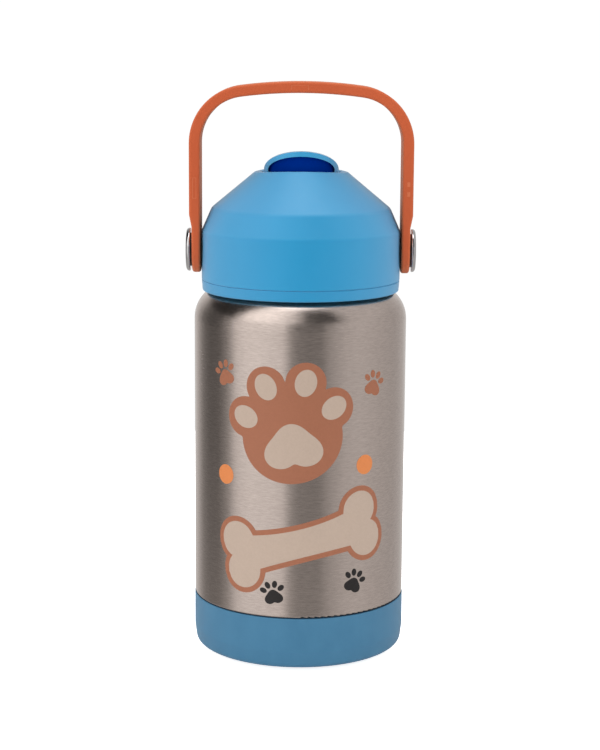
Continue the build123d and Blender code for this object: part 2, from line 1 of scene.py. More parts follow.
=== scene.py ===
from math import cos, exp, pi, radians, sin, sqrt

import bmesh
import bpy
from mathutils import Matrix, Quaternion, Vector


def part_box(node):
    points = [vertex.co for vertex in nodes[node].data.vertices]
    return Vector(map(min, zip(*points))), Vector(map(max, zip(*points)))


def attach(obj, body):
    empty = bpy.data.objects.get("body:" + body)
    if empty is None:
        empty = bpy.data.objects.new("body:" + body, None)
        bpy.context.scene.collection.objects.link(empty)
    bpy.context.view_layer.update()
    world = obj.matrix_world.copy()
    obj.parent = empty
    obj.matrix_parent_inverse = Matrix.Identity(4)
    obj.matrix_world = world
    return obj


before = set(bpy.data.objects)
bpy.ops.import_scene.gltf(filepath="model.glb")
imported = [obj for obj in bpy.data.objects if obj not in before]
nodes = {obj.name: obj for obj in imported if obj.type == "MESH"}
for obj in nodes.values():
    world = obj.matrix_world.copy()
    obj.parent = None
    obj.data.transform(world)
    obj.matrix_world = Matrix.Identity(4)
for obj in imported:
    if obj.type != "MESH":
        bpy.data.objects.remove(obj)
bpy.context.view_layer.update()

# %% [markdown]
# # A child's insulated water bottle
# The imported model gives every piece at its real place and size, in metres, with +Z up and the
# front towards -Y. This lesson gives each piece its finish, adds the printed decoration and the
# fine moulding marks, and sets up a small product studio.

MM = 0.001
_, shell_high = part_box("outer_shell")
_, boot_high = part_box("base_boot")
handle_low, handle_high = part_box("handle")
body_radius = shell_high.x
print(f"body radius {body_radius / MM:.1f} mm, boot top {boot_high.z / MM:.1f} mm")

# %% [markdown]
# ## Small helpers for shaders
# Every finish is a Principled shader fed by a few nodes. Writing each link by hand hides the idea
# of a material, so two helpers do the wiring: one adds a node and fills its inputs, and one makes
# fine noise that can be stretched along any axis. The noise reads Object coordinates, because
# these pieces have no UV map and their objects sit at the origin, so a metre is a metre.


# %% Shader helpers
def new_shader(name, **sockets):
    """A material with a Principled shader; uniform values go straight on the shader's sockets."""
    material = bpy.data.materials.new(name)
    material.use_nodes = True
    tree = material.node_tree
    shader = tree.nodes["Principled BSDF"]
    for socket, value in sockets.items():
        shader.inputs[socket.replace("_", " ")].default_value = value
    return material, tree, shader


def add_node(tree, kind, settings=None, **inputs):
    """A node with its settings, its inputs given as values or as sockets to link from."""
    node = tree.nodes.new(kind)
    for name, value in (settings or {}).items():
        setattr(node, name, value)
    for name, value in inputs.items():
        by_place = name[0] == "i" and name[1:].isdigit()
        socket = node.inputs[int(name[1:])] if by_place else node.inputs[name]
        if isinstance(value, bpy.types.NodeSocket):
            tree.links.new(value, socket)
        else:
            socket.default_value = value
    return node


def stretched_noise(tree, scale, detail=4.0, roughness=0.5):
    """Noise whose grain per metre is given along X, Y and Z."""
    place = add_node(tree, "ShaderNodeTexCoord")
    mapping = add_node(tree, "ShaderNodeMapping", Vector=place.outputs["Object"], Scale=scale)
    grain = {"Scale": 1.0, "Detail": detail, "Roughness": roughness}
    return add_node(tree, "ShaderNodeTexNoise", Vector=mapping.outputs[0], **grain).outputs["Fac"]


def remap(tree, value, low, high, start=0.3, end=0.7):
    """Spreads a noise between two values of the wanted property."""
    node = add_node(tree, "ShaderNodeMapRange", i0=value, i1=start, i2=end, i3=low, i4=high)
    return node.outputs[0]


def tint(tree, value, dark, light):
    """Mixes two close shades of a colour by a noise."""
    mix = add_node(tree, "ShaderNodeMix", {"data_type": "RGBA"}, Factor=value)
    mix.inputs[6].default_value = (*dark, 1)
    mix.inputs[7].default_value = (*light, 1)
    return mix.outputs[2]


def add_bump(tree, shader, height, depth, strength=1.0):
    """Bump of a real depth in metres, laid over any bump the shader already has."""
    bump = add_node(tree, "ShaderNodeBump", Strength=strength, Distance=depth, Height=height)
    before = shader.inputs["Normal"].links
    if before:
        tree.links.new(before[0].from_socket, bump.inputs["Normal"])
    tree.links.new(bump.outputs[0], shader.inputs["Normal"])


# %% [markdown]
# ## Brushed stainless steel
# The body is polished with a belt while it turns, which leaves hair-thin scratches that run round
# it. Each scratch scatters light up and down but hardly sideways, so a window becomes a tall soft
# band. Modelling scratches would take millions of faces. An anisotropic metal with its tangent
# turned about Z gives the bands, and noise squeezed flat along Z gives the scratches themselves.


# %% Brushed steel
def brushed_steel(name, dark, light, rough_low, rough_high, grain=1.0):
    lay = {"Anisotropic": 0.6, "Anisotropic_Rotation": 0.25}
    material, tree, shader = new_shader(name, Metallic=1.0, **lay)
    tangent = add_node(tree, "ShaderNodeTangent", {"direction_type": "RADIAL", "axis": "Z"})
    tree.links.new(tangent.outputs[0], shader.inputs["Tangent"])
    hairs = stretched_noise(tree, (420, 420, 9000 * grain), detail=4.0, roughness=0.6)
    passes = stretched_noise(tree, (480, 480, 2600 * grain), detail=2.0)
    handling = stretched_noise(tree, (38, 38, 30), detail=3.0)
    blend = add_node(tree, "ShaderNodeMix", Factor=0.5, i2=hairs, i3=passes)
    scratches = blend.outputs[0]
    shade = tint(tree, remap(tree, scratches, 0, 1, 0.36, 0.64), dark, light)
    tree.links.new(shade, shader.inputs["Base Color"])
    streaks = remap(tree, scratches, rough_low, rough_high)
    smudges = remap(tree, handling, -0.025, 0.035)
    rough = add_node(tree, "ShaderNodeMath", {"operation": "ADD"}, i0=streaks, i1=smudges)
    tree.links.new(rough.outputs[0], shader.inputs["Roughness"])
    add_bump(tree, shader, hairs, 0.001 * MM, 0.4)
    return material


steel = brushed_steel("brushed_steel", (0.575, 0.490, 0.447), (0.70, 0.600, 0.550), 0.18, 0.25)
liner_steel = brushed_steel(
    "satin_liner_steel", (0.55, 0.53, 0.51), (0.68, 0.66, 0.64), 0.22, 0.30, grain=0.5
)
print("two steels")

# %% [markdown]
# ## Moulded plastic
# The lid, its lower ring, the spout's hood and the handle are injection moulded. The mould is
# spark-eroded to a fine satin, so the skin has tiny pits, a gloss that wanders a little from place
# to place, and faint flow clouds in the colour. Three noises of very different sizes give these,
# each one weak, so that the plastic looks even from an arm's length. Where a surface is seen at a
# slant its colour is painted paler, a painted sheen. The handle's shine is tinted towards its own
# colour, and the mould lines on it are painted a shade paler than the rest, a painted highlight on
# these small ridges. The hood's blue is painted a little paler than the lid's, a painted highlight
# for its rim.


# %% Moulded plastic
# Strength and blue of the painted sheen that lightens the plastic where it is seen at a slant.
PAINTED_SHEEN_STRENGTH = 0.55
BLUE_PAINTED_SHEEN = (0.25, 0.45, 0.66)


def moulded_plastic(
    name, dark, light, rough, pit_depth=0.006, edge=None, gloss_level=0.6, glare=(1, 1, 1)
):
    """edge is a painted sheen, the paler colour mixed in at a slant; glare the tint of its shine."""
    material, tree, shader = new_shader(
        name, Specular_IOR_Level=gloss_level, Specular_Tint=(*glare, 1)
    )
    pits = stretched_noise(tree, (5200, 5200, 5200), detail=3.0)
    flow = stretched_noise(tree, (45, 45, 30), detail=3.0)
    gloss = stretched_noise(tree, (220, 220, 220), detail=2.0)
    colour = tint(tree, remap(tree, flow, 0, 1), dark, light)
    # Painted sheen: the colour is mixed towards the paler edge colour where the surface is seen at a
    # slant.
    slant = add_node(tree, "ShaderNodeLayerWeight", Blend=0.5).outputs["Facing"]
    painted_sheen_mix = add_node(tree, "ShaderNodeMapRange", i0=slant, i3=0.0, i4=PAINTED_SHEEN_STRENGTH)
    skin = add_node(tree, "ShaderNodeMix", {"data_type": "RGBA"}, Factor=painted_sheen_mix.outputs[0])
    tree.links.new(colour, skin.inputs[6])
    skin.inputs[7].default_value = (*(edge or light), 1)
    tree.links.new(skin.outputs[2], shader.inputs["Base Color"])
    tree.links.new(remap(tree, gloss, rough - 0.03, rough + 0.04), shader.inputs["Roughness"])
    add_bump(tree, shader, pits, pit_depth * MM)
    return material


lid_plastic = moulded_plastic(
    "lid_polypropylene", (0.000, 0.268, 0.525), (0.001, 0.286, 0.550), 0.42, edge=BLUE_PAINTED_SHEEN
)
ring_plastic = moulded_plastic(
    "ring_polypropylene", (0.002, 0.262, 0.515), (0.005, 0.280, 0.540), 0.40, edge=BLUE_PAINTED_SHEEN
)
# The hood is the lid's blue painted a little paler, a painted highlight for its rim.
hood_plastic_with_painted_highlight = moulded_plastic(
    "hood_polypropylene_painted_paler", (0.020, 0.320, 0.595), (0.028, 0.340, 0.625), 0.34, edge=BLUE_PAINTED_SHEEN
)
HANDLE_SKIN = {"edge": (0.62, 0.22, 0.10), "gloss_level": 0.2, "glare": (0.95, 0.50, 0.38)}
handle_plastic = moulded_plastic(
    "handle_polypropylene", (0.520, 0.101, 0.038), (0.565, 0.115, 0.044), 0.56, **HANDLE_SKIN
)
# The mould lines are the handle's colour painted paler, a painted highlight on these small raised
# marks.
handle_marks_painted_highlight = moulded_plastic(
    "handle_mould_lines_painted_highlight", (0.600, 0.155, 0.068), (0.640, 0.170, 0.076), 0.50, **HANDLE_SKIN
)
acetal = moulded_plastic("natural_acetal", (0.78, 0.77, 0.72), (0.84, 0.83, 0.79), 0.33)
# The washers and spacers are painted near black, a painted shade for the dark slot between the screw
# heads, the handle and the lid.
acetal_painted_shade = moulded_plastic("acetal_painted_shade", (0.012, 0.012, 0.013), (0.018, 0.018, 0.019), 0.36)
straw_plastic = moulded_plastic(
    "straw_polypropylene", (0.70, 0.78, 0.82), (0.78, 0.85, 0.88), 0.25, pit_depth=0.002
)
print("eight moulded plastics")

# %% [markdown]
# ## Silicone
# Silicone is matt, takes up dust and skin oil, and glows faintly at its edges. Sheen gives the
# edge glow, and a fine bump stands for the blasted mould that the boot comes from.


# %% Silicone
def silicone(name, dark, light, rough, sheen, gloss=0.35):
    material, tree, shader = new_shader(
        name, Specular_IOR_Level=gloss, Sheen_Weight=sheen, Sheen_Roughness=0.5
    )
    grain = stretched_noise(tree, (3200, 3200, 3200), detail=4.0)
    dust = stretched_noise(tree, (150, 150, 90), detail=5.0, roughness=0.6)
    tree.links.new(tint(tree, remap(tree, dust, 0, 1), dark, light), shader.inputs["Base Color"])
    tree.links.new(remap(tree, dust, rough - 0.05, rough + 0.06), shader.inputs["Roughness"])
    add_bump(tree, shader, grain, 0.010 * MM)
    return material


boot_silicone = silicone("boot_silicone", (0.040, 0.165, 0.290), (0.050, 0.186, 0.315), 0.55, 0.10)
mouth_silicone = silicone(
    "mouthpiece_silicone", (0.0, 0.022, 0.225), (0.0, 0.027, 0.250), 0.60, sheen=0.0, gloss=0.0
)
clear_silicone = silicone("seal_silicone", (0.72, 0.72, 0.69), (0.78, 0.78, 0.75), 0.42, 0.05)
# Painted shade: the near-black colour of the bead laid in the shaded groove over the boot.
seam_painted_shade = silicone("seam_painted_shade", (0.012, 0.030, 0.052), (0.018, 0.040, 0.066), 0.70, 0.0, 0.1)
print("four silicones")

# %% [markdown]
# ## Plated and plain metal
# The pivot screws are polished and plated, the pins are ground and the inserts are turned brass.
# All three are the same recipe: a metal with a little haze and with turning marks about X, the
# axis that these parts were cut on.


# %% Small metal parts
def turned_metal(name, colour, rough, marks):
    material, tree, shader = new_shader(name, Metallic=1.0)
    rings = stretched_noise(tree, (2500, 300, 300), detail=3.0)
    haze = stretched_noise(tree, (500, 500, 500), detail=3.0)
    worn = tuple(0.9 * channel for channel in colour)
    tree.links.new(tint(tree, remap(tree, haze, 0, 1), worn, colour), shader.inputs["Base Color"])
    tree.links.new(remap(tree, haze, rough, rough + 0.07), shader.inputs["Roughness"])
    add_bump(tree, shader, rings, marks * MM)
    return material


chrome = turned_metal("polished_chrome", (0.66, 0.65, 0.66), 0.06, 0.0008)
ground_steel = turned_metal("ground_steel", (0.62, 0.61, 0.60), 0.22, 0.002)
brass = turned_metal("turned_brass", (0.72, 0.52, 0.24), 0.24, 0.003)

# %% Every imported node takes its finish
FINISHES = {
    steel: ["outer_shell"],
    liner_steel: ["inner_liner", "base_plate", "getter_disc"],
    boot_silicone: ["base_boot"],
    lid_plastic: ["lid_shell"],
    ring_plastic: ["lid_insert"],
    hood_plastic_with_painted_highlight: ["spout_shell"],
    mouth_silicone: ["mouthpiece"],
    handle_plastic: ["handle"],
    chrome: ["pivot_screw_left", "pivot_screw_right"],
    ground_steel: ["spout_pin_left", "spout_pin_right"],
    brass: ["pivot_insert_left", "pivot_insert_right"],
    clear_silicone: ["lid_gasket", "spout_seal", "vent_valve"],
    straw_plastic: ["straw"],
    acetal: ["straw_adapter", "handle_bush_left", "handle_bush_right"],
    # Painted shade: these parts are near black so that the slot they sit in reads dark.
    acetal_painted_shade: [
        "pivot_washer_left", "pivot_washer_right", "pivot_spacer_left", "pivot_spacer_right",
    ],
}
for material, names in FINISHES.items():
    for name in names:
        for slot in nodes[name].material_slots:
            slot.material = material
print(f"{sum(map(len, FINISHES.values()))} of {len(nodes)} nodes have a finish")

# %% [markdown]
# ## The printed decoration
# The front carries a screen print in flat inks: a puppy's paw, a bone, two balls and small paw
# marks. A picture texture would blur when it is seen close. Here each ink is a thin sheet drawn
# flat, with its X as the distance round the bottle and its Y as the height, and a Geometry Nodes
# tree gives it the ink's thickness and bends it round the steel.


# %% Flat shapes
def patch(outline, centre=(0, 0), turn=0.0, rings=9, segments=72):
    """A flat star-shaped sheet of rings, its edge given by outline(angle) as a radius."""
    c, s = cos(turn), sin(turn)
    points, faces = [centre], []
    for ring in range(1, rings + 1):
        for step in range(segments):
            angle = 2 * pi * step / segments
            radius = outline(angle) * ring / rings
            x, y = radius * cos(angle), radius * sin(angle)
            points.append((centre[0] + c * x - s * y, centre[1] + s * x + c * y))
    for step in range(segments):
        following = (step + 1) % segments
        faces.append((0, 1 + step, 1 + following))
        for ring in range(rings - 1):
            inner, outer = 1 + ring * segments, 1 + (ring + 1) * segments
            faces.append((inner + step, outer + step, outer + following, inner + following))
    return points, faces


def ellipse(half_width, half_height):
    """The outline of an ellipse as a radius for each angle."""
    def radius(angle):
        across, up = half_height * cos(angle), half_width * sin(angle)
        return half_width * half_height / sqrt(across**2 + up**2)

    return radius


def flat_mesh(name, patches):
    """One flat mesh, in metres, from patches drawn in millimetres."""
    mesh = bpy.data.meshes.new(name)
    points, faces = [], []
    for patch_points, patch_faces in patches:
        start = len(points)
        points += [(x * MM, y * MM, 0) for x, y in patch_points]
        faces += [tuple(start + i for i in face) for face in patch_faces]
    mesh.from_pydata(points, [], faces)
    return mesh


def strip(lower, upper, start, end, columns=80, rows=6):
    """A flat sheet between two curves, each a function of x, from start to end."""
    points, faces = [], []
    for column in range(columns + 1):
        x = start + (end - start) * column / columns
        low, high = lower(x), upper(x)
        points += [(x, low + (high - low) * row / rows) for row in range(rows + 1)]
    for column in range(columns):
        for row in range(rows):
            first = column * (rows + 1) + row
            faces.append((first, first + rows + 1, first + rows + 2, first + 1))
    return points, faces


def placed(shape, centre, turn=0.0, size=1.0):
    """The same flat sheet turned, resized and moved to its place on the print."""
    points, faces = shape
    c, s = size * cos(turn), size * sin(turn)
    return [(centre[0] + c * x - s * y, centre[1] + s * x + c * y) for x, y in points], faces


# %% [markdown]
# ## The tree that wraps a print
# Ink follows the surface it is printed on, so the tree works in the flat first: it gives the sheet
# a thickness by extruding it, closes its back with a flipped copy, and then turns every point's X
# into an angle round the bottle. Radius is where the back of the ink sits. A new drawing needs no
# new tree, only another flat mesh.


# %% Geometry Nodes helpers
def new_tree(name, **inputs):
    """A Geometry Nodes tree with named inputs: each is a socket type."""
    tree = bpy.data.node_groups.new(name, "GeometryNodeTree")
    tree.interface.new_socket("Geometry", in_out="INPUT", socket_type="NodeSocketGeometry")
    for label, kind in inputs.items():
        tree.interface.new_socket(label, in_out="INPUT", socket_type=f"NodeSocket{kind}")
    tree.interface.new_socket("Geometry", in_out="OUTPUT", socket_type="NodeSocketGeometry")
    return tree, tree.nodes.new("NodeGroupInput").outputs


def end_tree(tree, geometry, finish):
    """The tree's last nodes: real geometry, not instances, with its material."""
    real = add_node(tree, "GeometryNodeRealizeInstances", Geometry=geometry)
    done = add_node(tree, "GeometryNodeSetMaterial", Geometry=real.outputs[0], Material=finish)
    add_node(tree, "NodeGroupOutput", i0=done.outputs[0])


def grow(name, tree, body, mesh=None, **values):
    """Runs a tree with these input values and keeps the result as one plain mesh on a body."""
    source = bpy.data.objects.new(name + "_source", mesh or bpy.data.meshes.new(name + "_flat"))
    bpy.context.scene.collection.objects.link(source)
    modifier = source.modifiers.new("tree", "NODES")
    modifier.node_group = tree
    for item in tree.interface.items_tree:
        if item.in_out == "INPUT" and item.name in values:
            modifier[item.identifier] = values[item.name]
    evaluated = source.evaluated_get(bpy.context.evaluated_depsgraph_get())
    result = bpy.data.meshes.new_from_object(evaluated)
    result.name = name
    bpy.data.objects.remove(source)
    piece = bpy.data.objects.new(name, result)
    bpy.context.scene.collection.objects.link(piece)
    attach(piece, body)
    print(f"{name}: {len(result.polygons)} faces")
    return piece


def calculate(tree, operation, *values):
    """One step of arithmetic inside a tree."""
    return add_node(
        tree, "ShaderNodeMath", {"operation": operation}, **{f"i{i}": v for i, v in enumerate(values)}
    ).outputs[0]


def thicken(tree, sheet, thickness):
    """Extrudes a flat sheet and closes its back with a flipped copy."""
    raised = add_node(tree, "GeometryNodeExtrudeMesh", Mesh=sheet, Individual=False)
    tree.links.new(thickness, raised.inputs["Offset Scale"])
    back = add_node(tree, "GeometryNodeFlipFaces", Mesh=sheet)
    both = tree.nodes.new("GeometryNodeJoinGeometry")
    tree.links.new(back.outputs[0], both.inputs[0])
    tree.links.new(raised.outputs[0], both.inputs[0])
    weld = {"Geometry": both.outputs[0], "Distance": 0.002 * MM}
    return add_node(tree, "GeometryNodeMergeByDistance", **weld)


# %% The wrapping tree
wrap, given = new_tree("wrap_print", Radius="Float", Thickness="Float", Finish="Material")
sheet = add_node(wrap, "GeometryNodeMergeByDistance", Geometry=given["Geometry"], Distance=0.005 * MM)
closed = thicken(wrap, sheet.outputs[0], given["Thickness"])
place = add_node(wrap, "GeometryNodeInputPosition").outputs[0]
flat = add_node(wrap, "ShaderNodeSeparateXYZ", Vector=place)
angle = calculate(wrap, "DIVIDE", flat.outputs[0], given["Radius"])
reach = calculate(wrap, "ADD", given["Radius"], flat.outputs[2])
round_x = calculate(wrap, "MULTIPLY", reach, calculate(wrap, "SINE", angle))
round_y = calculate(wrap, "MULTIPLY", reach, calculate(wrap, "COSINE", angle))
forward = calculate(wrap, "MULTIPLY", round_y, -1.0)
bent = add_node(wrap, "ShaderNodeCombineXYZ", i0=round_x, i1=forward, i2=flat.outputs[1]).outputs[0]
wrapped = add_node(wrap, "GeometryNodeSetPosition", Geometry=closed.outputs[0], Position=bent)
end_tree(wrap, wrapped.outputs[0], given["Finish"])


# %% [markdown]
# ## Printing inks
# Screen inks for metal dry to an even satin film with a very slight orange-peel. The colours stay
# flat, so the shader only varies the gloss and lays down a faint bump.


# %% Inks
def printing_ink(name, colour, rough=0.42):
    material, tree, shader = new_shader(name, Specular_IOR_Level=0.45)
    peel = stretched_noise(tree, (1500, 1500, 1500), detail=2.0)
    deeper = tuple(0.95 * channel for channel in colour)
    tree.links.new(tint(tree, remap(tree, peel, 0, 1), deeper, colour), shader.inputs["Base Color"])
    tree.links.new(remap(tree, peel, rough - 0.04, rough + 0.05), shader.inputs["Roughness"])
    add_bump(tree, shader, peel, 0.002 * MM)
    return material


brown_ink = printing_ink("brown_ink", (0.345, 0.124, 0.062))
cream_ink = printing_ink("cream_ink", (0.470, 0.360, 0.285))
orange_ink = printing_ink("orange_ink", (0.680, 0.215, 0.058))
dark_ink = printing_ink("dark_ink", (0.012, 0.009, 0.009), 0.36)

# %% [markdown]
# ## The drawing
# All sizes here are millimetres on the unrolled steel, from the middle of the front and from the
# ground. The paw and the bone take the middle, as a child's motif would, with two balls and small
# paw marks around them.

# %% The big paw
PAW_CENTRE = (-2.5, 78.5)
PAW_TURN = radians(7)
TOE_RADIUS = 6.6
TOES = [(152, 16.6), (111, 18.2), (69, 18.2), (28, 16.6)]


def paw_edge(angle):
    """The paw's outline: a round palm with four toes standing out of its upper half."""
    edge = ellipse(16.6, 15.0)(angle)
    for at, distance in TOES:
        away = angle - radians(at)
        inside = TOE_RADIUS**2 - (distance * sin(away)) ** 2
        if cos(away) > 0 and inside > 0:
            edge = max(edge, distance * cos(away) + sqrt(inside))
    return edge


def palm_pad(angle):
    """The palm's pad: wide below, with a shallow notch at the bottom."""
    lobes = 1 + 0.13 * cos(3 * (angle - pi / 2))
    notch = 0.9 * exp(-(((angle - 3 * pi / 2) / 0.3) ** 2))
    return ellipse(9.2, 7.0)(angle) * lobes - notch


paw = patch(paw_edge, rings=16, segments=200)
pads = [placed(patch(palm_pad, rings=8), (0, -3.4))]
for at, distance in TOES:
    middle = (distance * cos(radians(at)), distance * sin(radians(at)))
    pads.append(placed(patch(ellipse(3.5, 4.4), rings=5, segments=48), middle, radians(at - 90)))

# %% The bone
SHAFT_HALF = 4.6
LOBE_RADIUS = 6.0
LOBE_MIDDLE = (21.5, 5.0)


def bone_half(grow_by):
    """The upper half of a bone: its outer edge and, at the end, the notch between the lobes."""
    radius = LOBE_RADIUS + grow_by

    def rise(x):
        inside = radius**2 - (abs(x) - LOBE_MIDDLE[0]) ** 2
        return sqrt(max(inside, 0))

    def upper(x):
        neck = SHAFT_HALF + grow_by + 0.004 * x * x
        lobe = LOBE_MIDDLE[1] + rise(x) if abs(x) > LOBE_MIDDLE[0] - radius else 0
        return max(neck, lobe) if abs(x) < LOBE_MIDDLE[0] else LOBE_MIDDLE[1] + rise(x)

    def lower(x):
        return max(0, LOBE_MIDDLE[1] - rise(x)) if abs(x) > LOBE_MIDDLE[0] else 0

    return lower, upper, LOBE_MIDDLE[0] + radius


def bone(grow_by):
    """Both halves of the bone."""
    lower, upper, end = bone_half(grow_by)
    top = strip(lower, upper, -end, end, 150)
    bottom = strip(lambda x: -upper(x), lambda x: -lower(x), -end, end, 150)
    return [top, bottom]


# %% Balls and small paw marks
def small_paw(centre, turn, size):
    """A palm and four toes, as five separate spots."""
    spots = [placed(patch(palm_pad, rings=3, segments=36), (0, -2.0), 0, 0.36)]
    for at in (148, 110, 70, 32):
        spot = patch(ellipse(0.95, 1.35), rings=2, segments=24)
        way = (cos(radians(at)), sin(radians(at)))
        spots.append(placed(spot, (3.9 * way[0], 3.9 * way[1] - 1.0), radians(at) - pi / 2))
    return [placed(spot, centre, turn, size) for spot in spots]


BONE_CENTRE = (1.0, 44.0)
BONE_TURN = radians(14)
balls = [placed(patch(ellipse(3.2, 3.2), rings=4), centre) for centre in ((-26.0, 64.5), (22.5, 68.5))]
brown_marks = small_paw((-26.5, 98.0), radians(18), 0.95) + small_paw((26.0, 95.0), radians(-16), 0.95)
dark_marks = small_paw((-8.5, 27.5), radians(12), 0.9) + small_paw((19.0, 30.5), radians(-22), 0.9)

# %% Print the inks, one over another
INK = 0.045 * MM
SUNK = 0.02 * MM
first_radius = body_radius - SUNK
PRINTS = [
    ("print_paw", [placed(paw, PAW_CENTRE, PAW_TURN)], brown_ink, 0),
    ("print_pads", [placed(pad, PAW_CENTRE, PAW_TURN) for pad in pads], cream_ink, 1),
    ("print_bone_edge", [placed(half, BONE_CENTRE, BONE_TURN) for half in bone(1.7)], brown_ink, 0),
    ("print_bone", [placed(half, BONE_CENTRE, BONE_TURN) for half in bone(0)], cream_ink, 1),
    ("print_balls", balls, orange_ink, 0),
    ("print_brown_marks", brown_marks, brown_ink, 0),
    ("print_dark_marks", dark_marks, dark_ink, 0),
]
for name, patches, finish, layer in PRINTS:
    thickness = INK + SUNK + layer * 0.02 * MM
    drawing = flat_mesh(name + "_flat", patches)
    grow(name, wrap, "bottle", drawing, Radius=first_radius, Thickness=thickness, Finish=finish)

# %% [markdown]
# ## Grip pips, mould and ejector marks
# Moulded parts keep small traces of how they were made. The boot's hollow underside has rings of
# rubber pips that grip a table, the inner cap shows six ejector discs on its ceiling, and the
# handle has small raised marks on its edge. Whatever repeats comes from one tree that sets a
# shape at every point of a circle.

# %% The ring tree
ring, given = new_tree(
    "ring_of_domes", Radius="Float", Count="Int", Height="Float", Size="Vector", Finish="Material"
)
circle = add_node(ring, "GeometryNodeMeshCircle", Vertices=given["Count"], Radius=given["Radius"])
dome = add_node(ring, "GeometryNodeMeshUVSphere", Segments=24, Rings=12, Radius=1.0)
domes = add_node(
    ring, "GeometryNodeInstanceOnPoints",
    Points=circle.outputs[0], Instance=dome.outputs[0], Scale=given["Size"],
)
lift = add_node(ring, "ShaderNodeCombineXYZ", i2=given["Height"])
lifted = add_node(ring, "GeometryNodeTransform", Geometry=domes.outputs[0], Translation=lift.outputs[0])
smooth = add_node(ring, "GeometryNodeSetShadeSmooth", Geometry=lifted.outputs[0])
end_tree(ring, smooth.outputs[0], given["Finish"])

PIP_ROWS = [(6, 10), (10, 16), (14, 24), (18, 30)]
CAP_CEILING = 138.6 * MM
for number, (radius, count) in enumerate(PIP_ROWS, start=1):
    grow(
        f"boot_pips_{number}", ring, "bottle", Radius=radius * MM, Count=count, Height=0.75 * MM,
        Size=(0.85 * MM, 0.85 * MM, 0.6 * MM), Finish=boot_silicone,
    )
grow(
    "ejector_marks", ring, "lid", Radius=16.5 * MM, Count=6, Height=CAP_CEILING,
    Size=(1.9 * MM, 1.9 * MM, 0.12 * MM), Finish=ring_plastic,
)

# %% [markdown]
# ## Painted shade line over the boot
# A thin dark line runs round the bottle over the boot, where the groove between the boot's lip and
# the steel lies in shade. That shade is painted in as a hair-thin dark bead in the groove. It is a
# round bead on a circle, so its tree sweeps one circle along another.

# %% The seam tree
seam, given = new_tree(
    "seam_line", Radius="Float", Width="Float", Height="Float", Finish="Material"
)
path = add_node(seam, "GeometryNodeCurvePrimitiveCircle", i0=360, i4=given["Radius"])
section = add_node(seam, "GeometryNodeCurvePrimitiveCircle", i0=8, i4=given["Width"])
bead = add_node(seam, "GeometryNodeCurveToMesh", i0=path.outputs[0], i1=section.outputs[0])
level = add_node(seam, "ShaderNodeCombineXYZ", i2=given["Height"])
laid = add_node(seam, "GeometryNodeTransform", Geometry=bead.outputs[0], Translation=level.outputs[0])
end_tree(seam, laid.outputs[0], given["Finish"])

# The dark bead is painted shade in the groove over the boot.
grow(
    "boot_seam", seam, "bottle", Radius=body_radius - 0.15 * MM, Width=0.17 * MM,
    Height=boot_high.z + 0.13 * MM, Finish=seam_painted_shade,
)

# %% [markdown]
# ## Marks on the handle's edge
# The strap's front edge carries what the mould left there: two short ticks at the top where its
# halves met, a long frame on the left arm and two stubs on the right one. They are flat drawings
# again, this time in X and Z, so a second small tree thickens them and stands them on the edge.

# %% The standing tree
stand, given = new_tree("stand_on_front", Depth="Float", Thickness="Float", Finish="Material")
closed = thicken(stand, given["Geometry"], given["Thickness"])
place = add_node(stand, "GeometryNodeInputPosition").outputs[0]
flat = add_node(stand, "ShaderNodeSeparateXYZ", Vector=place)
out = calculate(stand, "SUBTRACT", given["Depth"], flat.outputs[2])
upright = add_node(stand, "ShaderNodeCombineXYZ", i0=flat.outputs[0], i1=out, i2=flat.outputs[1])
spot = upright.outputs[0]
stood = add_node(stand, "GeometryNodeSetPosition", Geometry=closed.outputs[0], Position=spot)
end_tree(stand, stood.outputs[0], given["Finish"])


# %% Handle marks
def bar(x, z, width, height):
    """A flat upright bar round its middle."""
    low, high = z - height / 2, z + height / 2
    return strip(lambda _: low, lambda _: high, x - width / 2, x + width / 2, 2, 2)


arm = (handle_high.x - 1.8 * MM) / MM
crown = handle_high.z / MM - 1.9
MARKS = [bar(-3.3, crown, 0.22, 1.6), bar(2.1, crown, 0.22, 1.6), bar(-0.6, crown + 0.75, 5.2, 0.14)]
MARKS += [bar(side, 155.2, 0.2, 6.8) for side in (-arm - 0.55, -arm + 0.55)]
MARKS += [bar(-arm, z, 0.9, 0.2) for z in (151.9, 158.5)]
MARKS += [bar(arm + 0.2, z, 1.0, 1.5) for z in (153.6, 156.8)]
# Their finish is painted paler than the handle, a painted highlight on the raised marks.
grow(
    "handle_marks", stand, "handle", flat_mesh("handle_marks_flat", MARKS),
    Depth=handle_low.y + 0.05 * MM, Thickness=0.11 * MM, Finish=handle_marks_painted_highlight,
)

# %% [markdown]
# ## Camera
# A long lens from six tenths of a metre, a little above the bottle, gives the nearly flat view of
# a shop picture. The bottle leans by a third of a degree in it, so the camera is rolled as much.

# %% Camera
ROLL = radians(0.38)
LENS = 87.8
STANDS_AT = Vector((0, -602 * MM, 201 * MM))
AIMS_AT = Vector((0, 0, 92.5 * MM))
camera_data = bpy.data.cameras.new("camera")
camera_data.lens = LENS
camera = bpy.data.objects.new("camera", camera_data)
bpy.context.scene.collection.objects.link(camera)
camera.location = STANDS_AT
look = AIMS_AT - STANDS_AT
level_view = look.to_track_quat("-Z", "Y")
camera.rotation_euler = (level_view @ Quaternion((0, 0, 1), ROLL)).to_euler()
bpy.context.scene.camera = camera
print(f"camera {look.length:.3f} m from its target")

# %% [markdown]
# ## Studio
# Steel shows its surroundings, so the tall bands on the body are the studio itself: a big white
# panel on the left, a dark gap behind the camera, and a softer panel on the right. The bands are
# given by azimuth, in degrees from the front and positive to the right. Matt pieces see a plain
# soft dome instead, which keeps their colours even, and the camera sees a white backdrop.

